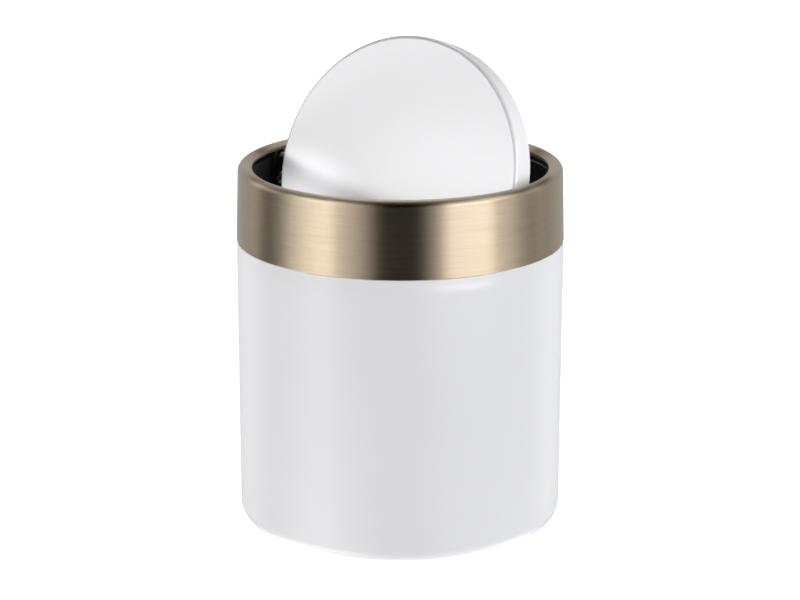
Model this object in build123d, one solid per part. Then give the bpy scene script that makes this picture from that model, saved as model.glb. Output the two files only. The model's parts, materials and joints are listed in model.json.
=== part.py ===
from build123d import *
from math import sin, cos, tan, radians, sqrt, atan2, hypot, pi
import os

# Countertop bin with a swing lid. Millimetres, +Z up.
# Origin: centre of the base, at the plane that the bin stands on.
# The lid turns about an axle along X; the front is -Y.

# ---------------------------------------------------------------- driving dimensions
BODY_R = 60.0            # outer radius of the can
WALL = 0.45              # can sheet thickness
FOOT_Z = 0.4             # the can stands this far above the ground, on its pad
FOOT_R = 6.0             # rounding between wall and foot
FOOT_IN_R = 49.5         # inner edge of the turned-in foot
SHOULDER_Z = 104.05      # middle of the shallow draw-in just under the collar
SHOULDER_R = 31.0        # radius of its two curves
SHOULDER_TILT = 4.6      # degrees of lean at its middle
LEDGE_Z = 107.2          # height where the wall turns in to the neck
LEDGE_R = 0.7
NECK_R = 58.15           # outer radius of the neck, inside the collar
RIM_Z = 118.0            # top of the hemmed rim
HEM_H = 4.5              # height of the inward hem

FLOOR_T = 0.5            # sheet thickness of the floor
FLOOR_Z = 2.6            # underside of the raised floor panel
FLOOR_R = 53.8           # outer radius of the floor's flange

PAD_OUT_R = 44.8         # anti-slip ring
PAD_IN_R = 30.0

BAND_Z0 = 107.3          # lower edge of the collar band
BAND_Z1 = 136.44         # where the wall and the sloping top would meet
BAND_T = 0.4             # band sheet thickness
BAND_TAPER = 0.0291      # inward lean, mm per mm
BAND_ROUND = 2.5         # rounding between wall and top
LIP_R = 53.95            # opening radius at the lip
LIP_Z1 = 133.95          # height of the lip's edge, where the top turns down
LIP_ROUND = 0.5          # rounding of that edge
LIP_Z = 132.9            # lower end of the turned-down lip

LINER_TOP = 130.2
LINER_IN_R = 55.9        # bore of the liner
LEG_IN_R = 55.4          # bore of the plug leg
PLUG_R = 56.95           # outer radius of the plug leg, inside the rim
OUTER_LEG_R = 58.4       # inner radius of the outer leg, outside the neck
SEAT_Z = 118.05          # the liner's seat on the rim

AXLE_Z = 130.5           # height of the lid's axle
AXLE_R = 1.5
AXLE_END = 57.0          # half length of the rod
BORE_R = 1.55            # bore in the pivot blocks, running fit
BORE_END = 57.25         # bottom of the bore
BLOCK_OUT = 57.8         # outer end of the block's round head
BLOCK_IN = 54.6          # inner face of the pivot block
LAND_X = 55.6            # flat land on the liner
BLOCK_HEAD_R = 3.2
SCREW_Z = 122.0          # height of the block's screw

LID_R = 50.6             # lid outer radius
LID_TOP = 3.80           # face above the axle
LID_BOT = -6.48          # lower edge of the skirt below the axle
LID_T = 0.5
LID_CORNER = 1.5
LID_OPEN = 72.0          # degrees open, as stored
CRIMP_R = 49.3           # inner edge of the turned-in skirt

TRAY_R = 50.0
TRAY_T = 1.4
BAR_L, BAR_W, BAR_H = 64.0, 14.0, 4.0
BAR_SCREW_X = 22.0
CLIP_X = 42.6            # middle of the E-clip groove
CLIP_T = 0.6


# ---------------------------------------------------------------- profile helpers
def corner(p, q, s, r):
    """Tangent arc of radius r at q between the runs p-q and q-s: start, end, centre, turn."""
    d1 = ((q[0] - p[0]), (q[1] - p[1]))
    d2 = ((s[0] - q[0]), (s[1] - q[1]))
    n1, n2 = hypot(*d1), hypot(*d2)
    d1 = (d1[0] / n1, d1[1] / n1)
    d2 = (d2[0] / n2, d2[1] / n2)
    turn = atan2(d1[0] * d2[1] - d1[1] * d2[0], d1[0] * d2[0] + d1[1] * d2[1])
    k = r * tan(abs(turn) / 2)
    a = (q[0] - d1[0] * k, q[1] - d1[1] * k)
    b = (q[0] + d2[0] * k, q[1] + d2[1] * k)
    sg = 1 if turn > 0 else -1
    c = (a[0] - d1[1] * r * sg, a[1] + d1[0] * r * sg)
    return a, b, c, sg, d1, d2


def mid_arc(a, b, c, r):
    mx, my = (a[0] + b[0]) / 2 - c[0], (a[1] + b[1]) / 2 - c[1]
    n = hypot(mx, my)
    return ThreePointArc(a, (c[0] + mx / n * r, c[1] + my / n * r), b)


def closed(pts):
    """Closed section from (r, z, corner radius) points."""
    n = len(pts)
    segs, ends = [], []
    for i in range(n):
        p, q, s = pts[i - 1], pts[i], pts[(i + 1) % n]
        if q[2] > 0:
            a, b, c, sg, d1, d2 = corner(p[:2], q[:2], s[:2], q[2])
            ends.append((a, b))
            segs.append(mid_arc(a, b, c, q[2]))
        else:
            ends.append((q[:2], q[:2]))
    for i in range(n):
        a, b = ends[i][1], ends[(i + 1) % n][0]
        if hypot(a[0] - b[0], a[1] - b[1]) > 1e-6:
            segs.append(Line(a, b))
    return make_face(Curve() + segs)


def sheet(pts, t):
    """Section of a sheet: the path (r, z, corner radius) is one face, the other is t to its left."""
    near, far = [], []
    d_first = d_last = None
    pos, posf = None, None
    for i, q in enumerate(pts):
        if i == 0:
            d = (pts[1][0] - q[0], pts[1][1] - q[1])
            n = hypot(*d)
            d_first = (d[0] / n, d[1] / n)
            pos = (q[0], q[1])
            posf = (q[0] - d_first[1] * t, q[1] + d_first[0] * t)
            start, startf = pos, posf
            continue
        if i == len(pts) - 1:
            d = (q[0] - pts[i - 1][0], q[1] - pts[i - 1][1])
            n = hypot(*d)
            d_last = (d[0] / n, d[1] / n)
            end = (q[0], q[1])
            endf = (q[0] - d_last[1] * t, q[1] + d_last[0] * t)
            near.append(Line(pos, end))
            far.append(Line(posf, endf))
            continue
        a, b, c, sg, d1, d2 = corner(pts[i - 1][:2], q[:2], pts[i + 1][:2], q[2])
        af = (a[0] - d1[1] * t, a[1] + d1[0] * t)
        bf = (b[0] - d2[1] * t, b[1] + d2[0] * t)
        if hypot(a[0] - pos[0], a[1] - pos[1]) > 1e-6:
            near.append(Line(pos, a))
            far.append(Line(posf, af))
        near.append(mid_arc(a, b, c, q[2]))
        far.append(mid_arc(af, bf, c, q[2] - sg * t))
        pos, posf = b, bf
    return make_face(Curve() + near + far + [Line(start, startf), Line(end, endf)])


def turned(face):
    """A section in (radius, height) turned about the can's axis."""
    return revolve(Plane.XZ * face, Axis.Z, 360)


def rod_x(r, x0, x1, y=0.0, z=0.0):
    """Plain cylinder along X."""
    return Pos((x0 + x1) / 2, y, z) * Rot(0, 90, 0) * Cylinder(r, abs(x1 - x0))


def rod_z(r, z0, z1, x=0.0, y=0.0):
    """Plain cylinder along Z."""
    return Pos(x, y, (z0 + z1) / 2) * Cylinder(r, abs(z1 - z0))


def block(x0, x1, y0, y1, z0, z1):
    return Pos((x0 + x1) / 2, (y0 + y1) / 2, (z0 + z1) / 2) * Box(abs(x1 - x0), abs(y1 - y0), abs(z1 - z0))


def pan_screw(head_r, head_h, shank_r, shank_l, tip):
    """Pan-head cross-recess screw: head from z = 0 to head_h, shank down to -shank_l."""
    side = head_h * 0.4
    dome = ThreePointArc((0, head_h), (head_r * 0.62, head_h - (head_h - side) * 0.30), (head_r, side))
    pts = [(head_r, side), (head_r, 0), (shank_r, 0), (shank_r, -shank_l + tip), (shank_r * 0.35, -shank_l), (0, -shank_l), (0, head_h)]
    section = make_face(Curve() + [dome] + [Line(a, b) for a, b in zip(pts, pts[1:])])
    s = turned(section)
    # tapered cross recess
    w, l, d = 0.55, head_r * 1.05, head_h * 0.62
    for a in (0, 90):
        s -= Rot(0, 0, a) * Pos(0, 0, head_h - d) * extrude(Rectangle(l * 0.6, w * 0.7), d + 0.2, taper=-18)
    return s


def band_in(z):
    """Inner radius of the collar band's wall at height z."""
    return BODY_R - BAND_T * 1.0005 - (z - BAND_Z0) * BAND_TAPER


# ---------------------------------------------------------------- can
def make_can_body():
    # a shallow S from the wall to a slightly smaller radius, then a near-flat ledge and the neck
    t = radians(SHOULDER_TILT)
    k = SHOULDER_R * tan(t / 2)
    low = (BODY_R, SHOULDER_Z - k * cos(t))
    top = (BODY_R - 2 * k * sin(t), SHOULDER_Z + k * cos(t))
    ledge = (top[0], LEDGE_Z)
    neck = (NECK_R, LEDGE_Z + (top[0] - NECK_R) * tan(radians(10)))
    hem_r = WALL + 0.025
    path = [(FOOT_IN_R, FOOT_Z, 0), (BODY_R, FOOT_Z, FOOT_R), (*low, SHOULDER_R), (*top, SHOULDER_R),
            (*ledge, LEDGE_R), (*neck, 1.0), (NECK_R, RIM_Z - hem_r - 1.0, 0)]
    shell = turned(sheet(path, WALL))
    # pressed-flat inward hem with a full-round top
    cx = NECK_R - hem_r
    hem_arc = ThreePointArc((NECK_R, RIM_Z - hem_r), (cx, RIM_Z), (cx - hem_r, RIM_Z - hem_r))
    hem = make_face(Curve() + [
        hem_arc, Line((cx - hem_r, RIM_Z - hem_r), (cx - hem_r, RIM_Z - HEM_H)),
        Line((cx - hem_r, RIM_Z - HEM_H), (NECK_R - WALL, RIM_Z - HEM_H)),
        Line((NECK_R - WALL, RIM_Z - HEM_H), (NECK_R - WALL, RIM_Z - hem_r - 1.0)),
        Line((NECK_R - WALL, RIM_Z - hem_r - 1.0), (NECK_R, RIM_Z - hem_r - 1.0)),
        Line((NECK_R, RIM_Z - hem_r - 1.0), (NECK_R, RIM_Z - hem_r))])
    return shell + turned(hem)


def make_base_disc():
    path = [(0, FLOOR_Z, 0), (46.0, FLOOR_Z, 0.9), (47.1, FOOT_Z + WALL, 0.9), (FLOOR_R, FOOT_Z + WALL, 0)]
    return turned(sheet(path, FLOOR_T))


def make_base_pad():
    return turned(closed([(PAD_IN_R, 0, 0.4), (PAD_OUT_R, 0, 0.4), (PAD_OUT_R, FLOOR_Z, 0.2), (PAD_IN_R, FLOOR_Z, 0.2)]))


# ---------------------------------------------------------------- collar
def make_collar_band():
    top_r = BODY_R - (BAND_Z1 - BAND_Z0) * BAND_TAPER
    path = [(BODY_R, BAND_Z0, 0), (top_r, BAND_Z1, BAND_ROUND), (LIP_R, LIP_Z1, LIP_ROUND), (LIP_R, LIP_Z, 0)]
    return turned(sheet(path, BAND_T))


def make_collar_liner():
    g = 0.05
    ring = turned(closed([
        (LINER_IN_R, LINER_TOP, 1.2), (LINER_IN_R, 117.6, 0), (LEG_IN_R, 116.6, 0), (LEG_IN_R, 109.5, 0.4),
        (PLUG_R, 109.5, 0.6), (PLUG_R, SEAT_Z, 0.2), (OUTER_LEG_R, SEAT_Z, 0.2), (OUTER_LEG_R, 108.6, 0.2),
        (band_in(108.6) - g, 108.6, 0.2), (band_in(LINER_TOP) - g, LINER_TOP, 0.3)]))
    for s in (-1, 1):
        # flat land for the pivot block
        land = block(s * LAND_X, s * 57.2, -5.5, 5.5, 118.4, LINER_TOP - 0.4)
        ring += land
        # cradle for the block's round head, and the pilot hole of its screw
        ring -= rod_x(BLOCK_HEAD_R + 0.1, s * 54.0, s * (BLOCK_OUT + 0.15), 0, AXLE_Z)
        ring -= block(s * 54.0, s * (BLOCK_OUT + 0.15), -BLOCK_HEAD_R - 0.1, BLOCK_HEAD_R + 0.1, AXLE_Z, AXLE_Z + 6)
        ring -= rod_x(1.12, s * 55.0, s * 58.3, 0, SCREW_Z)
    return ring


def make_pivot_block(s):
    # plate: a rounded foot that narrows to the round head
    zf0, zf1, hw = 117.9, 126.2, 4.4
    # tangent from the foot's upper corner to the head's circle
    px, pz = hw, zf1
    dx, dz = px - 0.0, pz - AXLE_Z
    dist = hypot(dx, dz)
    base = atan2(dz, dx)
    off = atan2(sqrt(dist * dist - BLOCK_HEAD_R ** 2), BLOCK_HEAD_R)
    ang = base + off
    tx, tz = BLOCK_HEAD_R * cos(ang), AXLE_Z + BLOCK_HEAD_R * sin(ang)
    outline = closed([(-hw, zf0, 1.6), (hw, zf0, 1.6), (hw, zf1, 1.0), (tx, tz, 0), (-tx, tz, 0), (-hw, zf1, 1.0)])
    plate = extrude(Plane.YZ * outline, LAND_X - BLOCK_IN)
    plate = Pos(BLOCK_IN, 0, 0) * plate
    head = rod_x(BLOCK_HEAD_R, BLOCK_IN, BLOCK_OUT, 0, AXLE_Z)
    b = plate + head
    # running bore with a chamfered mouth, and the screw's clearance hole
    b -= rod_x(BORE_R, BLOCK_IN - 1, BORE_END, 0, AXLE_Z)
    b -= Pos(BLOCK_IN + 0.2, 0, AXLE_Z) * Rot(0, 90, 0) * Cone(BORE_R + 0.4, BORE_R, 0.4)
    b -= rod_x(1.35, BLOCK_IN - 1, LAND_X + 1, 0, SCREW_Z)
    if s < 0:
        b = mirror(b, Plane.YZ)
    return b


def make_pivot_block_screws():
    out = []
    for s in (-1, 1):
        sc = pan_screw(2.3, 1.3, 1.1, 3.4, 0.8)
        # shank points outwards, head inwards
        sc = Rot(0, -90 * s, 0) * sc
        out.append(Pos(s * BLOCK_IN, 0, SCREW_Z) * sc)
    return Compound(children=[o for o in out])


# ---------------------------------------------------------------- lid, built closed about its axle
def make_lid_cap():
    path = [(CRIMP_R, LID_BOT, 0), (LID_R, LID_BOT, 0.8), (LID_R, LID_TOP, LID_CORNER), (0, LID_TOP, 0)]
    cap = turned(sheet(path, LID_T))
    cap -= rod_x(1.7, -60, 60)
    return cap


def make_lid_tray():
    z0 = LID_BOT + LID_T + 0.05
    z1 = z0 + TRAY_T
    rim_in = TRAY_R - 1.2
    plate = turned(closed([(0, z0, 0), (TRAY_R, z0, 0.3), (TRAY_R, 1.2, 0), (rim_in, 1.2, 0), (rim_in, z1, 0.3), (0, z1, 0)]))
    # shallow step on the outer face, and stiffening rings inside
    plate -= turned(closed([(38.0, z0 - 0.5, 0), (45.5, z0 - 0.5, 0), (45.5, z0 + 0.4, 0.2), (38.0, z0 + 0.4, 0.2)]))
    for r in (29.0, 37.0):
        plate += turned(closed([(r - 0.5, z1 - 0.3, 0), (r + 0.5, z1 - 0.3, 0), (r + 0.5, z1 + 1.5, 0), (r - 0.5, z1 + 1.5, 0)]))
    for s in (-1, 1):
        # pillow blocks for the axle, beside the skirt and near the middle
        plate += block(s * 43.2, s * 47.8, -4.0, 4.0, z1 - 0.3, 2.6)
        plate += block(s * 10.5, s * 14.5, -3.4, 3.4, z1 - 0.3, 2.6)
        # screw bosses for the counterweight
        plate += rod_z(3.2, z1 - 0.3, -1.8, s * BAR_SCREW_X, 0)
    for s in (-1, 1):
        plate -= rod_x(AXLE_R + 0.03, s * 42.0, s * 48.0)
        plate -= rod_x(AXLE_R + 0.03, s * 9.0, s * 16.0)
        plate -= rod_z(1.12, z0 - 1, -2.1, s * BAR_SCREW_X, 0)
        # notch in the rim where the axle passes
        plate -= block(s * 48.2, s * 50.5, -1.7, 1.7, -1.7, 2.0)
    return plate


def make_axle_rod():
    rod = rod_x(AXLE_R, -AXLE_END, AXLE_END)
    rod = chamfer(rod.edges().filter_by(GeomType.CIRCLE), 0.3)
    for s in (-1, 1):
        ring = rod_x(AXLE_R + 1, s * (CLIP_X - 0.35), s * (CLIP_X + 0.35)) - rod_x(1.15, s * (CLIP_X - 0.5), s * (CLIP_X + 0.5))
        rod -= ring
    return rod


def make_axle_clips():
    out = []
    for s in (-1, 1):
        ring = Cylinder(2.7, CLIP_T) - Cylinder(1.95, CLIP_T + 1)
        for a in (0, 120, 240):
            # three inner lugs that grip the groove
            ring += Rot(0, 0, a) * Pos(1.65, 0, 0) * Box(0.95, 1.0, CLIP_T)
        ring -= Rot(0, 0, 60) * Pos(2.5, 0, 0) * Box(2.0, 1.7, CLIP_T + 1)
        ring -= Cylinder(1.16, CLIP_T + 1)
        out.append(Pos(s * CLIP_X, 0, 0) * Rot(0, 90, 0) * ring)
    return Compound(children=out)


def make_counterweight_bar():
    z1 = LID_BOT + LID_T + 0.05
    bar = Pos(0, 0, z1 - BAR_H / 2) * Box(BAR_L, BAR_W, BAR_H)
    bar = fillet(bar.edges().filter_by(Axis.Z), 3.0)
    bar = chamfer(bar.faces().sort_by(Axis.Z)[0].edges(), 0.5)
    for s in (-1, 1):
        bar -= rod_z(1.4, z1 - BAR_H - 1, z1 + 1, s * BAR_SCREW_X, 0)
    return bar


def make_counterweight_screws():
    z1 = LID_BOT + LID_T + 0.05
    out = []
    for s in (-1, 1):
        sc = Rot(180, 0, 0) * pan_screw(2.4, 1.5, 1.1, 7.0, 0.8)
        out.append(Pos(s * BAR_SCREW_X, 0, z1 - BAR_H) * sc)
    return Compound(children=out)


def opened(shape):
    """From the closed lid's frame to its stored place: turned open about the axle."""
    return Pos(0, 0, AXLE_Z) * Rot(LID_OPEN, 0, 0) * shape


parts = {
    "can_body": make_can_body(),
    "base_disc": make_base_disc(),
    "base_pad": make_base_pad(),
    "collar_band": make_collar_band(),
    "collar_liner": make_collar_liner(),
    "pivot_block_left": make_pivot_block(-1),
    "pivot_block_right": make_pivot_block(1),
    "pivot_block_screws": make_pivot_block_screws(),
    "lid_cap": opened(make_lid_cap()),
    "lid_tray": opened(make_lid_tray()),
    "axle_rod": opened(make_axle_rod()),
    "axle_clips": opened(make_axle_clips()),
    "counterweight_bar": opened(make_counterweight_bar()),
    "counterweight_screws": opened(make_counterweight_screws()),
}

os.makedirs("parts", exist_ok=True)
for name, shape in parts.items():
    export_step(shape, "parts/" + name + ".step")
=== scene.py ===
"""Countertop bin with a swing lid: its looks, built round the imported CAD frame. Metres; the CAD's numbers below are in millimetres."""

import bpy
import json
from math import sin, cos, tan, radians, atan2, hypot, pi, ceil
from mathutils import Vector, Matrix

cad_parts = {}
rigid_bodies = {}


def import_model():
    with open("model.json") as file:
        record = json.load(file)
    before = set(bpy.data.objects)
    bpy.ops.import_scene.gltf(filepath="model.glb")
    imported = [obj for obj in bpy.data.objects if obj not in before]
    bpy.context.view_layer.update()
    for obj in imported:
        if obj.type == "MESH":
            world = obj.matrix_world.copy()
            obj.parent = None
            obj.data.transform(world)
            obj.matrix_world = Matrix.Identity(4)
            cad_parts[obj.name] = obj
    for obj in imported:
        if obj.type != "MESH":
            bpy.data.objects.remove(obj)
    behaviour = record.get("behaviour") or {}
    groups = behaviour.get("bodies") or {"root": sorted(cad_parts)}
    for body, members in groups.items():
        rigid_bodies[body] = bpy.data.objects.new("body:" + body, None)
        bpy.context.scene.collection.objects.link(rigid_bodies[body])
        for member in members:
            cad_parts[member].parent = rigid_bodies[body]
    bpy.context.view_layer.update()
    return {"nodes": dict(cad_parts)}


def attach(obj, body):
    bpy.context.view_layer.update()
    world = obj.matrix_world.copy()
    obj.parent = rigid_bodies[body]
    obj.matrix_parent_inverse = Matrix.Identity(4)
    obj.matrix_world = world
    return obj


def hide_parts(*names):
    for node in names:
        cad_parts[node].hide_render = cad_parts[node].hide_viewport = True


for o in list(bpy.data.objects):
    bpy.data.objects.remove(o)

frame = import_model()
cad = frame["nodes"]
scene = bpy.context.scene
MM = 0.001

# the camera stands in front and to the right of the bin
CAM_AZ, CAM_EL = 33.5, 16.476
CAM_TARGET, CAM_DIST = Vector((0.0, 0.0, 0.08263)), 0.896
AXLE_Z, LID_OPEN = 130.5, 72.0


# ---------------------------------------------------------------- turned shapes
def corner(p, q, s, r):
    """Tangent arc of radius r at q: start, end, centre, sign of the turn, angle turned."""
    d1, d2 = (q[0] - p[0], q[1] - p[1]), (s[0] - q[0], s[1] - q[1])
    n1, n2 = hypot(*d1), hypot(*d2)
    d1, d2 = (d1[0] / n1, d1[1] / n1), (d2[0] / n2, d2[1] / n2)
    turn = atan2(d1[0] * d2[1] - d1[1] * d2[0], d1[0] * d2[0] + d1[1] * d2[1])
    k = r * tan(abs(turn) / 2)
    a = (q[0] - d1[0] * k, q[1] - d1[1] * k)
    b = (q[0] + d2[0] * k, q[1] + d2[1] * k)
    sg = 1 if turn > 0 else -1
    c = (a[0] - d1[1] * r * sg, a[1] + d1[0] * r * sg)
    return a, b, c, sg, abs(turn)


def offset_path(path, t):
    """The path's other face, t to its left, with the corner radii that keep the sheet's thickness."""
    out = []
    n = len(path)
    for i, q in enumerate(path):
        a = path[i - 1] if i else None
        b = path[i + 1] if i < n - 1 else None
        d1 = d2 = None
        if a is not None:
            m = hypot(q[0] - a[0], q[1] - a[1])
            d1 = ((q[0] - a[0]) / m, (q[1] - a[1]) / m)
        if b is not None:
            m = hypot(b[0] - q[0], b[1] - q[1])
            d2 = ((b[0] - q[0]) / m, (b[1] - q[1]) / m)
        if d1 is None or d2 is None:
            d = d1 or d2
            out.append((q[0] - d[1] * t, q[1] + d[0] * t, 0))
            continue
        cross = d1[0] * d2[1] - d1[1] * d2[0]
        dot = d1[0] * d2[0] + d1[1] * d2[1]
        k = t * tan(atan2(cross, dot) / 2)
        sg = 1 if cross > 0 else -1
        out.append((q[0] - d1[1] * t - d1[0] * k, q[1] + d1[0] * t - d1[1] * k, max(q[2] - sg * t, 0.02) if q[2] else 0))
    return out


def trace(pts, closed, run=6.0, turn_step=9.0):
    """Points of a section with its corners rounded: (r, z, normal r, normal z). The solid is on the left of the path."""
    out = []
    n = len(pts)

    def straight(a, b):
        d = (b[0] - a[0], b[1] - a[1])
        m = hypot(*d)
        if m < 1e-7:
            return
        nr, nz = d[1] / m, -d[0] / m
        k = max(1, ceil(m / run))
        for i in range(k + 1):
            out.append((a[0] + d[0] * i / k, a[1] + d[1] * i / k, nr, nz))

    ends = []
    for i, q in enumerate(pts):
        if (not closed and i in (0, n - 1)) or q[2] <= 0:
            ends.append((q[:2], q[:2], None))
        else:
            ends.append(corner(pts[i - 1][:2], q[:2], pts[(i + 1) % n][:2], q[2]))
    for i in range(n):
        a, b, rest = ends[i][0], ends[i][1], ends[i][2:]
        if len(rest) == 3 and rest[0] is not None:
            c, sg, ang = rest
            steps = max(2, ceil(ang / radians(turn_step)), ceil(ang * pts[i][2] / 0.4))
            a0 = atan2(a[1] - c[1], a[0] - c[0])
            for k in range(steps + 1):
                t = a0 + sg * ang * k / steps
                out.append((c[0] + pts[i][2] * cos(t), c[1] + pts[i][2] * sin(t), sg * cos(t), sg * sin(t)))
        if i < n - 1 or closed:
            straight(b, ends[(i + 1) % n][0])
    clean = []
    for p in out:
        if not clean or hypot(p[0] - clean[-1][0], p[1] - clean[-1][1]) > 1e-5:
            clean.append(p)
    if closed and hypot(clean[0][0] - clean[-1][0], clean[0][1] - clean[-1][1]) < 1e-5:
        clean.pop()
    return clean


def lathe(prof, closed, segs):
    """Vertices, normals and faces of a section turned about Z, in millimetres. A point on the axis is a pole."""
    verts, norms, faces, ring = [], [], [], []
    for r, z, nr, nz in prof:
        if r < 1e-6:
            ring.append([len(verts)] * segs)
            verts.append(Vector((0, 0, z)))
            norms.append(Vector((0, 0, 1 if nz > 0 else -1)))
            continue
        row = []
        for i in range(segs):
            t = 2 * pi * i / segs
            row.append(len(verts))
            verts.append(Vector((r * cos(t), r * sin(t), z)))
            norms.append(Vector((nr * cos(t), nr * sin(t), nz)))
        ring.append(row)
    m = len(prof)
    for j in range(m if closed else m - 1):
        a, b = ring[j], ring[(j + 1) % m]
        for i in range(segs):
            k = (i + 1) % segs
            f = [a[i], a[k], b[k], b[i]]
            f = [v for n, v in enumerate(f) if v != f[n - 1]]
            if len(f) > 2:
                faces.append((f, j, i))
    return verts, norms, faces, ring


def piece(name, verts, norms, faces, place=None):
    """A smooth mesh object in metres from millimetre data, with exact normals."""
    place = place or Matrix.Identity(4)
    turn = place.to_3x3()
    me = bpy.data.meshes.new(name)
    me.from_pydata([(place @ v) * MM for v in verts], [], [f for f in faces])
    me.update()
    me.shade_smooth()
    me.normals_split_custom_set_from_vertices([(turn @ n).normalized() for n in norms])
    me.validate(clean_customdata=False)
    o = bpy.data.objects.new(name, me)
    scene.collection.objects.link(o)
    return o


def sheet_section(path, t, edge=0.1, axis=None):
    """A sheet's closed section, its cut edges rounded a little. axis: which end of the path lies on the axis, if any."""
    far = offset_path(path, t)
    near = [list(p) for p in path]
    far = [list(p) for p in far]
    if axis == "end":
        near[0][2] = far[0][2] = edge
        return [tuple(p) for p in far[::-1]] + [tuple(p) for p in near], False
    if axis == "start":
        near[-1][2] = far[-1][2] = edge
        return [tuple(p) for p in near] + [tuple(p) for p in far[::-1]], False
    for p in (near[0], near[-1], far[0], far[-1]):
        p[2] = edge
    return [tuple(p) for p in near] + [tuple(p) for p in far[::-1]], True


SEGS = 360
BODY_R = 59.999
BAND_TAPER = 0.0291


def make_can_shell():
    # a shallow S below the collar, then a near-flat ledge and the neck
    t = radians(4.6)
    k = 31.0 * tan(t / 2)
    low, top = (BODY_R, 104.05 - k * cos(t)), (BODY_R - 2 * k * sin(t), 104.05 + k * cos(t))
    neck = (58.15, 107.2 + (top[0] - 58.15) * tan(radians(10)))
    path = [(49.5, 0.4, 0), (BODY_R, 0.4, 6.0), (*low, 31.0), (*top, 31.0), (top[0], 107.2, 0.7), (*neck, 1.0), (58.15, 112.0, 0)]
    far = offset_path(path, 0.45)
    near = [(49.5, 0.4, 0.12)] + path[1:-1]
    hem = [(58.15, 118.0, 0.474), (57.2, 118.0, 0.474), (57.2, 113.5, 0.12), (57.7, 113.5, 0.06)]
    inner = far[1:-1][::-1] + [(far[0][0], far[0][1], 0.12)]
    prof = trace(near + hem + inner, True)
    v, n, f, ring = lathe(prof, True, SEGS)
    return piece("can_shell", v, n, [q[0] for q in f])


def make_floor_panel():
    pts, closed = sheet_section([(0, 2.6, 0), (46.0, 2.6, 0.9), (47.1, 0.85, 0.9), (53.78, 0.85, 0)], 0.5, axis="start")
    v, n, f, ring = lathe(trace(pts, closed), closed, 240)
    return piece("floor_panel", v, n, [q[0] for q in f])


def make_foot_ring():
    pts = [(30.0, 0.0, 0.4), (44.8, 0.0, 0.4), (44.8, 2.6, 0.2), (30.0, 2.6, 0.2)]
    v, n, f, ring = lathe(trace(pts, True, run=1.5), True, 240)
    return piece("foot_ring", v, n, [q[0] for q in f])


def make_collar_sleeve():
    # up the wall, round a tight top edge, down a gentle slope to the lip, and turned down inside
    corner_z = 136.44
    top_r = BODY_R - (corner_z - 107.3) * BAND_TAPER
    path = [(BODY_R, 107.3, 0), (top_r, corner_z, 2.5), (53.95, 133.95, 0.5), (53.95, 132.9, 0)]
    pts, closed = sheet_section(path, 0.4, edge=0.13)
    v, n, f, ring = lathe(trace(pts, closed, run=4.0, turn_step=5.0), closed, SEGS)
    return piece("collar_sleeve", v, n, [q[0] for q in f])


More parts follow.
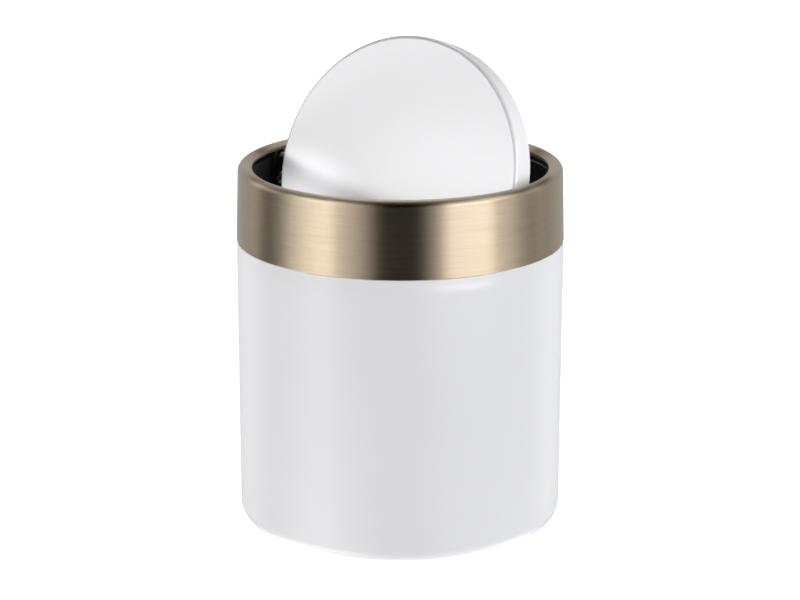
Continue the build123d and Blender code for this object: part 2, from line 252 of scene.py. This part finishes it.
def make_lid_shell():
    """The lid's drawn cap, closed about its axle, with the axle's two holes, then turned open."""
    r0, t = 50.597, 0.5
    rows = (-2.45, -1.7, -0.85, 0.0, 0.85, 1.6, 1.9)
    path = [(49.3, -6.48, 0), (r0, -6.48, 0.8)] + [(r0, z, 0) for z in rows] + [(r0, 3.8, 1.5), (0, 3.8, 0)]
    pts, closed = sheet_section(path, t, axis="end")
    prof = trace(pts, closed, run=5.0, turn_step=7.0)
    v, n, f, ring = lathe(prof, closed, SEGS)
    span = 3
    walls = {}
    for wall, r in (("out", r0), ("in", r0 - t)):
        js = [j for j, p in enumerate(prof) if abs(p[0] - r) < 1e-4 and rows[0] - 1e-4 <= p[1] <= rows[-1] + 1e-4]
        walls[wall] = (js[0], js[-1])
    faces = []
    for q, j, i in f:
        hole = False
        for side in (0, SEGS // 2):
            if (i - side + span) % SEGS < 2 * span:
                for j0, j1 in walls.values():
                    if j0 <= j < j1:
                        hole = True
        if not hole:
            faces.append(q)
    for side in (0, SEGS // 2):
        th0 = 2 * pi * side / SEGS
        tubes = {}
        for wall, r, sgn in (("out", r0, 1), ("in", r0 - t, -1)):
            j0, j1 = walls[wall]
            up = prof[j1][1] > prof[j0][1]
            lo, hi = (j0, j1) if up else (j1, j0)
            step = 1 if up else -1
            rim = [(side + i, lo) for i in range(-span, span)]
            rim += [(side + span, j) for j in range(lo, hi, step)]
            rim += [(side + i, hi) for i in range(span, -span, -1)]
            rim += [(side - span, j) for j in range(hi, lo, -step)]
            outer = [ring[j][i % SEGS] for i, j in rim]
            angs = []
            for i, j in rim:
                s = r0 * 2 * pi * (i - side) / SEGS
                angs.append(atan2(prof[j][1], s))
            # twice as many points round the hole
            fine = []
            for k, a in enumerate(angs):
                b = angs[(k + 1) % len(angs)]
                while b < a - pi:
                    b += 2 * pi
                fine += [a, (a + b) / 2]

            def loop(rad, depth, nx):
                ids = []
                for a in fine:
                    s, z = rad * cos(a), rad * sin(a)
                    th = th0 + s / r0
                    rr = r - sgn * depth
                    ids.append(len(v))
                    v.append(Vector((rr * cos(th), rr * sin(th), z)))
                    out_n = Vector((cos(th0), sin(th0), 0)) * sgn
                    side_n = Vector((-sin(th0), cos(th0), 0)) * (-cos(a)) + Vector((0, 0, -sin(a)))
                    n.append((out_n * (1 - nx) + side_n * nx).normalized())
                return ids

            l1, l2, l3 = loop(1.78, 0.0, 0.0), loop(1.72, 0.03, 0.5), loop(1.7, 0.1, 1.0)
            m = len(outer)
            quads = []
            for k in range(m):
                p, p2 = outer[k], outer[(k + 1) % m]
                a, b, c = l1[2 * k], l1[2 * k + 1], l1[(2 * k + 2) % (2 * m)]
                quads += [[p, b, a], [p, p2, c, b]]
            for la, lb in ((l1, l2), (l2, l3)):
                for k in range(2 * m):
                    k2 = (k + 1) % (2 * m)
                    quads.append([la[k], la[k2], lb[k2], lb[k]])
            faces += [q if sgn > 0 else q[::-1] for q in quads]
            tubes[wall] = l3
        a, b = tubes["out"], tubes["in"]
        m = len(a)
        for k in range(m):
            k2 = (k + 1) % m
            faces.append([a[k], a[k2], b[k2], b[k]])
    place = Matrix.Translation((0, 0, AXLE_Z)) @ Matrix.Rotation(radians(LID_OPEN), 4, "X")
    return piece("lid_shell", v, n, faces, place)


# ---------------------------------------------------------------- node helpers
class Tree:
    """Short calls for the nodes of one material or world."""

    def __init__(self, tree):
        self.t = tree
        tree.nodes.clear()

    def new(self, kind, **values):
        n = self.t.nodes.new(kind)
        for k, v in values.items():
            setattr(n, k, v)
        return n

    def put(self, socket, value):
        if isinstance(value, bpy.types.NodeSocket):
            self.t.links.new(value, socket)
        elif value is not None:
            socket.default_value = value

    def math(self, op, a, b=None, c=None, clamp=False):
        n = self.new("ShaderNodeMath", operation=op, use_clamp=clamp)
        for i, v in enumerate((a, b, c)):
            self.put(n.inputs[i], v)
        return n.outputs[0]

    def vec(self, op, a, b=None, scale=None):
        n = self.new("ShaderNodeVectorMath", operation=op)
        self.put(n.inputs[0], a)
        if b is not None:
            self.put(n.inputs[1], b)
        if scale is not None:
            self.put(n.inputs["Scale"], scale)
        return n.outputs["Value"] if op in ("LENGTH", "DOT_PRODUCT", "DISTANCE") else n.outputs["Vector"]

    def split(self, v):
        n = self.new("ShaderNodeSeparateXYZ")
        self.put(n.inputs[0], v)
        return n.outputs[0], n.outputs[1], n.outputs[2]

    def join(self, x, y, z):
        n = self.new("ShaderNodeCombineXYZ")
        for i, v in enumerate((x, y, z)):
            self.put(n.inputs[i], v)
        return n.outputs[0]

    def place(self, v=None, inverse_of=None):
        """Object coordinates; with inverse_of (location, rotation), in that frame instead."""
        c = self.new("ShaderNodeTexCoord").outputs["Object"]
        if inverse_of is None:
            return c
        n = self.new("ShaderNodeMapping", vector_type="TEXTURE")
        self.put(n.inputs["Vector"], c)
        n.inputs["Location"].default_value = inverse_of[0]
        n.inputs["Rotation"].default_value = inverse_of[1]
        return n.outputs[0]

    def noise(self, v, scale, detail=2.0, rough=0.5, lac=2.0, distort=0.0, out="Fac"):
        n = self.new("ShaderNodeTexNoise", noise_dimensions="3D")
        self.put(n.inputs["Vector"], v)
        self.put(n.inputs["Scale"], scale)
        n.inputs["Detail"].default_value = detail
        n.inputs["Roughness"].default_value = rough
        n.inputs["Lacunarity"].default_value = lac
        n.inputs["Distortion"].default_value = distort
        return n.outputs[out]

    def voronoi(self, v, scale, feature="F1", out="Distance", rand=1.0):
        n = self.new("ShaderNodeTexVoronoi", feature=feature)
        self.put(n.inputs["Vector"], v)
        n.inputs["Scale"].default_value = scale
        n.inputs["Randomness"].default_value = rand
        return n.outputs[out]

    def span(self, v, a, b, lo=0.0, hi=1.0, kind="LINEAR"):
        n = self.new("ShaderNodeMapRange", interpolation_type=kind, clamp=True)
        for i, x in enumerate((v, a, b, lo, hi)):
            self.put(n.inputs[i], x)
        return n.outputs[0]

    def mix(self, f, a, b, how="MIX"):
        n = self.new("ShaderNodeMix", data_type="RGBA", blend_type=how)
        self.put(n.inputs[0], f)
        for i, c in ((6, a), (7, b)):
            self.put(n.inputs[i], c if isinstance(c, bpy.types.NodeSocket) else (*c, 1.0))
        return n.outputs[2]

    def bump(self, height, distance, strength=1.0, normal=None):
        n = self.new("ShaderNodeBump")
        self.put(n.inputs["Height"], height)
        n.inputs["Distance"].default_value = distance
        n.inputs["Strength"].default_value = strength
        if normal is not None:
            self.put(n.inputs["Normal"], normal)
        return n.outputs[0]


def material(name, **fixed):
    m = bpy.data.materials.new(name)
    m.use_nodes = True
    t = Tree(m.node_tree)
    out = t.new("ShaderNodeOutputMaterial")
    b = t.new("ShaderNodeBsdfPrincipled")
    m.node_tree.links.new(b.outputs[0], out.inputs["Surface"])
    for k, v in fixed.items():
        b.inputs[k.replace("_", " ").title().replace("Ior", "IOR")].default_value = v
    return m, t, b


LID_FRAME = ((0.0, 0.0, AXLE_Z * MM), (radians(LID_OPEN), 0.0, 0.0))


def paint(name, low, high, rough, peel=1.0, inverse_of=None):
    """Sprayed and baked paint: faint orange peel, a slow drift of tone, and fine changes of gloss."""
    m, t, b = material(name, specular_ior_level=1.0)
    p = t.place(inverse_of=inverse_of)
    drift = t.noise(p, 22.0, detail=3.0)
    speck = t.noise(p, 5200.0, detail=1.0)
    t.put(b.inputs["Base Color"], t.mix(t.math("ADD", t.math("MULTIPLY", drift, 0.8), t.math("MULTIPLY", speck, 0.2)), low, high))
    cloud = t.noise(p, 160.0, detail=2.0)
    gloss = t.math("ADD", t.math("MULTIPLY", cloud, 0.04), t.math("MULTIPLY", speck, 0.03))
    t.put(b.inputs["Roughness"], t.math("ADD", gloss, rough - 0.035))
    wave = t.noise(p, 620.0, detail=2.0, rough=0.45)
    fine = t.noise(p, 2100.0, detail=1.0)
    h = t.math("ADD", wave, t.math("MULTIPLY", fine, 0.25))
    t.put(b.inputs["Normal"], t.bump(h, 0.000004 * peel))
    return m


def brushed_ring(name, dark, light, rough, aniso=0.8):
    """Metal brushed round the ring: long fine streaks, in tone, gloss and relief."""
    m, t, b = material(name, metallic=1.0, anisotropic=aniso, anisotropic_rotation=0.25)
    x, y, z = t.split(t.place())
    flat = t.join(x, y, 0.0)
    r = t.vec("LENGTH", flat)
    ux, uy, uz = t.split(t.vec("NORMALIZE", flat))
    s = t.math("SUBTRACT", z, r)

    def streak(around, across, detail):
        v = t.join(t.math("MULTIPLY", ux, around), t.math("MULTIPLY", uy, around), t.math("MULTIPLY", s, 1.0 / across))
        return t.noise(v, 1.0, detail=detail, rough=0.55)

    wide = streak(1.6, 0.0021, 2.0)
    mid = streak(3.2, 0.00055, 2.0)
    fine = streak(7.0, 0.00016, 1.0)
    blend = t.math("ADD", t.math("MULTIPLY", wide, 0.25), t.math("ADD", t.math("MULTIPLY", mid, 0.40), t.math("MULTIPLY", fine, 0.35)))
    tone = t.span(blend, 0.30, 0.70)
    t.put(b.inputs["Base Color"], t.mix(tone, dark, light))
    t.put(b.inputs["Roughness"], t.span(blend, 0.3, 0.7, rough - 0.03, rough + 0.04))
    t.put(b.inputs["Normal"], t.bump(blend, 0.0000035))
    tg = t.new("ShaderNodeTangent", direction_type="RADIAL", axis="Z")
    t.put(b.inputs["Tangent"], tg.outputs[0])
    return m


def moulded(name, low, high, rough, grain=2400.0, depth=0.000012, inverse_of=None, flow=True):
    """Injection-moulded plastic with a fine texture and faint flow marks."""
    m, t, b = material(name)
    p = t.place(inverse_of=inverse_of)
    cells = t.voronoi(p, grain)
    slow = t.noise(p, 60.0, detail=3.0, distort=0.6)
    t.put(b.inputs["Base Color"], t.mix(slow, low, high))
    t.put(b.inputs["Roughness"], t.math("ADD", t.math("MULTIPLY", slow, 0.10), t.math("ADD", t.math("MULTIPLY", cells, 0.06), rough - 0.07)))
    t.put(b.inputs["Normal"], t.bump(t.math("ADD", cells, t.math("MULTIPLY", slow, 0.4)), depth))
    return m


def drawn(name, low, high, rough, axis=0, inverse_of=None):
    """Drawn or turned metal with fine lines along one axis."""
    m, t, b = material(name, metallic=1.0)
    c = list(t.split(t.place(inverse_of=inverse_of)))
    k = [9000.0] * 3
    k[axis] = 160.0
    lines = t.noise(t.join(*[t.math("MULTIPLY", c[i], k[i]) for i in range(3)]), 1.0, detail=2.0)
    stain = t.noise(t.join(*c), 240.0, detail=3.0)
    t.put(b.inputs["Base Color"], t.mix(t.math("ADD", t.math("MULTIPLY", lines, 0.6), t.math("MULTIPLY", stain, 0.4)), low, high))
    t.put(b.inputs["Roughness"], t.math("ADD", t.math("MULTIPLY", lines, 0.14), rough - 0.07))
    t.put(b.inputs["Normal"], t.bump(lines, 0.000004))
    return m


def plated(name, low, high, rough, spangle=900.0, inverse_of=None):
    """Zinc or nickel plate: small crystals in tone and gloss."""
    m, t, b = material(name, metallic=1.0)
    p = t.place(inverse_of=inverse_of)
    n = t.new("ShaderNodeTexVoronoi", feature="F1")
    t.put(n.inputs["Vector"], p)
    n.inputs["Scale"].default_value = spangle
    cell = t.new("ShaderNodeSeparateColor")
    t.put(cell.inputs[0], n.outputs["Color"])
    haze = t.noise(p, 420.0, detail=3.0)
    f = t.math("ADD", t.math("MULTIPLY", cell.outputs[0], 0.5), t.math("MULTIPLY", haze, 0.5))
    t.put(b.inputs["Base Color"], t.mix(f, low, high))
    t.put(b.inputs["Roughness"], t.math("ADD", t.math("MULTIPLY", f, 0.16), rough - 0.08))
    t.put(b.inputs["Normal"], t.bump(haze, 0.00001))
    return m


def foam(name, low, high, rough):
    """Closed-cell foam rubber."""
    m, t, b = material(name, specular_ior_level=0.35)
    p = t.place()
    cells = t.voronoi(p, 1500.0)
    big = t.voronoi(p, 520.0)
    n = t.noise(p, 900.0, detail=3.0)
    f = t.math("ADD", t.math("MULTIPLY", cells, 0.6), t.math("MULTIPLY", n, 0.4))
    t.put(b.inputs["Base Color"], t.mix(f, low, high))
    t.put(b.inputs["Roughness"], t.math("ADD", t.math("MULTIPLY", n, 0.12), rough - 0.06))
    t.put(b.inputs["Normal"], t.bump(t.math("ADD", cells, t.math("MULTIPLY", big, 0.5)), 0.00006))
    return m


# ---------------------------------------------------------------- finishes
white = paint("white_paint_look", (0.77, 0.765, 0.79), (0.81, 0.805, 0.83), 0.25)
inner = paint("inner_paint_look", (0.76, 0.755, 0.775), (0.81, 0.805, 0.825), 0.30, peel=1.6)
# the lid's white is the body's paint made darker by about a seventh: painted shade on the lid, not a different paint
lid_shaded_white = paint("lid_paint_painted_shade_look", (0.66, 0.655, 0.675), (0.694, 0.689, 0.71), 0.25, inverse_of=LID_FRAME)
bronze = brushed_ring("bronze_steel_look", (0.416, 0.340, 0.246), (0.528, 0.432, 0.316), 0.32, aniso=1.0)
liner = moulded("black_plastic_look", (0.010, 0.0095, 0.009), (0.016, 0.015, 0.014), 0.38)
acetal = moulded("black_acetal_look", (0.010, 0.010, 0.010), (0.018, 0.018, 0.018), 0.28, grain=3600.0, depth=0.000006)
nickel = plated("bright_screw_look", (0.62, 0.61, 0.59), (0.80, 0.79, 0.76), 0.24, spangle=2600.0)
tray = moulded("tray_plastic_look", (0.016, 0.016, 0.017), (0.026, 0.026, 0.027), 0.46, grain=1700.0, depth=0.00002, inverse_of=LID_FRAME)
rod = drawn("bright_rod_look", (0.58, 0.58, 0.57), (0.76, 0.76, 0.75), 0.24, axis=0)
spring = plated("spring_steel_look", (0.20, 0.195, 0.18), (0.34, 0.33, 0.31), 0.34, spangle=4200.0, inverse_of=LID_FRAME)
zinc = plated("zinc_bar_look", (0.52, 0.53, 0.54), (0.72, 0.73, 0.75), 0.36, spangle=420.0, inverse_of=LID_FRAME)
pad = foam("pad_foam_look", (0.018, 0.018, 0.018), (0.045, 0.045, 0.045), 0.82)

# ---------------------------------------------------------------- pieces
made = [
    (make_can_shell(), "can", ["can_body"], "white_paint", white),
    (make_floor_panel(), "can", ["base_disc"], "inner_paint", inner),
    (make_foot_ring(), "can", ["base_pad"], "pad_foam", pad),
    (make_collar_sleeve(), "collar", ["collar_band"], "bronze_steel", bronze),
    (make_lid_shell(), "lid", ["lid_cap"], "lid_paint", lid_shaded_white),
]
for o, body, nodes, slot, mat in made:
    o.data.materials.append(mat)
    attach(o, body)
    for n in nodes:
        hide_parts(n)

for node, mat in (
    ("collar_liner", liner), ("pivot_block_left", acetal), ("pivot_block_right", acetal),
    ("pivot_block_screws", nickel), ("lid_tray", tray), ("axle_rod", rod), ("axle_clips", spring),
    ("counterweight_bar", zinc), ("counterweight_screws", nickel),
):
    for s in cad[node].material_slots:
        s.material = mat

# ---------------------------------------------------------------- studio
scene.view_settings.view_transform = "Standard"
scene.view_settings.look = "None"

world = bpy.data.worlds.new("studio")
scene.world = world
world.use_nodes = True
w = Tree(world.node_tree)
d = w.vec("NORMALIZE", w.new("ShaderNodeTexCoord").outputs["Generated"])
a0 = radians(CAM_AZ)
toward = w.vec("DOT_PRODUCT", d, (sin(a0), -cos(a0), 0.0))
side = w.vec("DOT_PRODUCT", d, (cos(a0), sin(a0), 0.0))
dz = w.split(d)[2]
rel = w.math("MULTIPLY", w.math("ARCTAN2", side, toward), 180 / pi)
elev = w.math("MULTIPLY", w.math("ARCSINE", dz), 180 / pi)


def rise(v, at, soft):
    return w.span(v, at - soft, at + soft, kind="SMOOTHSTEP")


def fall(v, at, soft):
    return w.span(v, at - soft, at + soft, 1.0, 0.0, kind="SMOOTHSTEP")


def panel(strength, a, b, soft_a, soft_b, low, high, soft_low, soft_high):
    """A soft-edged light between two azimuths and two heights, in degrees as seen from the bin."""
    across = w.math("MULTIPLY", rise(rel, a, soft_a), fall(rel, b, soft_b))
    return w.math("MULTIPLY", across, w.math("MULTIPLY", w.math("MULTIPLY", rise(elev, low, soft_low), fall(elev, high, soft_high)), strength))


def sweep(strength, behind, soft, low, high, soft_low, soft_high):
    """The same, all the way round the back from the azimuth behind."""
    up = w.math("MULTIPLY", rise(elev, low, soft_low), fall(elev, high, soft_high))
    return w.math("MULTIPLY", rise(w.math("ABSOLUTE", rel), behind, soft), w.math("MULTIPLY", up, strength))


def pool(strength, across, high, soft_high):
    """Light that comes up from the table."""
    return w.math("MULTIPLY", w.math("MULTIPLY", across, fall(elev, high, soft_high)), strength)


# softboxes to the left and right of the camera, smaller ones at the sides, a white sweep behind, and a pale table
left_lights = [
    panel(6.08, -85.4, -30.6, 25.0, 20.9, 10.1, 25.4, 3.0, 3.0),
    panel(1.10, -69.1, -47.3, 24.2, 5.0, -56.0, 26.4, 12.0, 3.0),
    panel(1.35, -131.1, -99.4, 6.9, 5.0, 11.4, 28.5, 3.0, 3.0),
    sweep(2.23, 156.1, 5.0, 30.5, 70.8, 3.0, 5.7),
    sweep(0.57, 112.9, 10.7, -24.8, 23.7, 3.0, 3.0),
    panel(1.83, -99.1, -23.8, 25.0, 11.3, -53.5, -22.6, 3.9, 3.0),
    panel(1.18, 29.2, 116.3, 5.0, 10.8, -43.9, -25.4, 3.0, 3.0),
    pool(5.60, rise(w.math("ABSOLUTE", rel), 96.1, 5.0), -42.7, 5.7),
    pool(0.51, fall(w.math("ABSOLUTE", rel), 128.3, 5.0), -43.9, 5.3),
]
right_lights = [
    panel(4.28, 31.8, 74.8, 5.0, 19.5, 1.1, 26.8, 11.7, 3.0),
    panel(1.33, 72.7, 90.5, 5.0, 5.0, 10.0, 51.3, 3.0, 15.6),
    panel(3.35, 21.6, 67.6, 11.7, 5.0, -11.3, 6.7, 3.0, 3.0),
    panel(1.14, 81.0, 115.5, 15.1, 5.0, -3.1, 25.1, 14.8, 3.0),
]


def summed(parts):
    out = parts[0]
    for s in parts[1:]:
        out = w.math("ADD", out, s)
    return out


# the right-hand softbox is a little cooler
warm, cool = summed(left_lights), summed(right_lights)
tint = [w.math("ADD", warm, w.math("MULTIPLY", cool, k)) for k in (0.985, 1.0, 1.02)]
soft = w.new("ShaderNodeBackground")
w.put(soft.inputs[0], w.join(*tint))
soft.inputs[1].default_value = 1.0
plain = w.new("ShaderNodeBackground")
plain.inputs[0].default_value = (1.0, 1.0, 1.0, 1.0)
plain.inputs[1].default_value = 1.0
pick = w.new("ShaderNodeMixShader")
w.put(pick.inputs[0], w.new("ShaderNodeLightPath").outputs["Is Camera Ray"])
w.put(pick.inputs[1], soft.outputs[0])
w.put(pick.inputs[2], plain.outputs[0])
out = w.new("ShaderNodeOutputWorld")
w.put(out.inputs[0], pick.outputs[0])

# fills for the open lid, so that the collar doesn't shade it
lid_only = bpy.data.collections.new("lid_fill_targets")
lid_only.objects.link(made[4][0])
for name, aim, az_off, high, dist, half, watts in (
    ("fill_low_left", (-0.0412, -0.0102, 0.1114), -6.0, 24.0, 0.7, 0.0245, 30.0),
    ("fill_low", (0.0262, -0.0129, 0.1032), -6.0, 24.0, 0.7, 0.068, 5.0),
    ("fill_side", (0.046, 0.002, 0.140), 78.0, 18.0, 0.7, 0.075, 9.0),
):
    ld = bpy.data.lights.new(name, "SPOT")
    ld.energy, ld.spot_blend, ld.shadow_soft_size = watts, 1.0, 0.01
    ld.spot_size = 2 * atan2(half, dist)
    lamp = bpy.data.objects.new(name, ld)
    scene.collection.objects.link(lamp)
    a1, e1 = radians(CAM_AZ + az_off), radians(high)
    out_v = Vector((sin(a1) * cos(e1), -cos(a1) * cos(e1), sin(e1)))
    lamp.location = Vector(aim) + out_v * dist
    lamp.rotation_mode = "QUATERNION"
    lamp.rotation_quaternion = (-out_v).to_track_quat("-Z", "Y")
    lamp.visible_glossy = False
    lamp.light_linking.receiver_collection = lid_only
    lamp.light_linking.blocker_collection = lid_only

# pale floor
verts = [(6.0 * cos(2 * pi * i / 96), 6.0 * sin(2 * pi * i / 96), 0.0) for i in range(96)]
me = bpy.data.meshes.new("studio_floor")
me.from_pydata(verts, [], [list(range(96))])
floor = bpy.data.objects.new("studio_floor", me)
scene.collection.objects.link(floor)
fm, ft, fb = material("floor_look", roughness=0.9, specular_ior_level=0.1)
fp = ft.place()
ft.put(fb.inputs["Base Color"], ft.mix(ft.noise(fp, 3.0), (0.90, 0.90, 0.90), (0.92, 0.92, 0.92)))
fb.inputs["Emission Color"].default_value = (1.0, 1.0, 1.0, 1.0)
fb.inputs["Emission Strength"].default_value = 1.0
fo = next(n for n in fm.node_tree.nodes if n.type == "OUTPUT_MATERIAL")
fx = ft.new("ShaderNodeMixShader")
ft.put(fx.inputs[0], ft.new("ShaderNodeNewGeometry").outputs["Backfacing"])
ft.put(fx.inputs[1], fb.outputs[0])
ft.put(fx.inputs[2], ft.new("ShaderNodeBsdfTransparent").outputs[0])
ft.put(fo.inputs["Surface"], fx.outputs[0])
me.materials.append(fm)
# the floor only catches shadow: the light from below the horizon is the studio's own
floor.visible_glossy = floor.visible_diffuse = floor.visible_shadow = floor.visible_transmission = False

# camera
cd = bpy.data.cameras.new("camera")
cam = bpy.data.objects.new("camera", cd)
scene.collection.objects.link(cam)
cd.sensor_width, cd.lens = 36.0, 108.88
cd.shift_x = -0.00015
cd.clip_start, cd.clip_end = 0.05, 30.0
az, el = radians(CAM_AZ), radians(CAM_EL)
back_v = Vector((sin(az) * cos(el), -cos(az) * cos(el), sin(el)))
cam.location = CAM_TARGET + back_v * CAM_DIST
cam.rotation_mode = "QUATERNION"
cam.rotation_quaternion = (-back_v).to_track_quat("-Z", "Y") @ Matrix.Rotation(0.0017, 3, "Z").to_quaternion()
scene.camera = cam
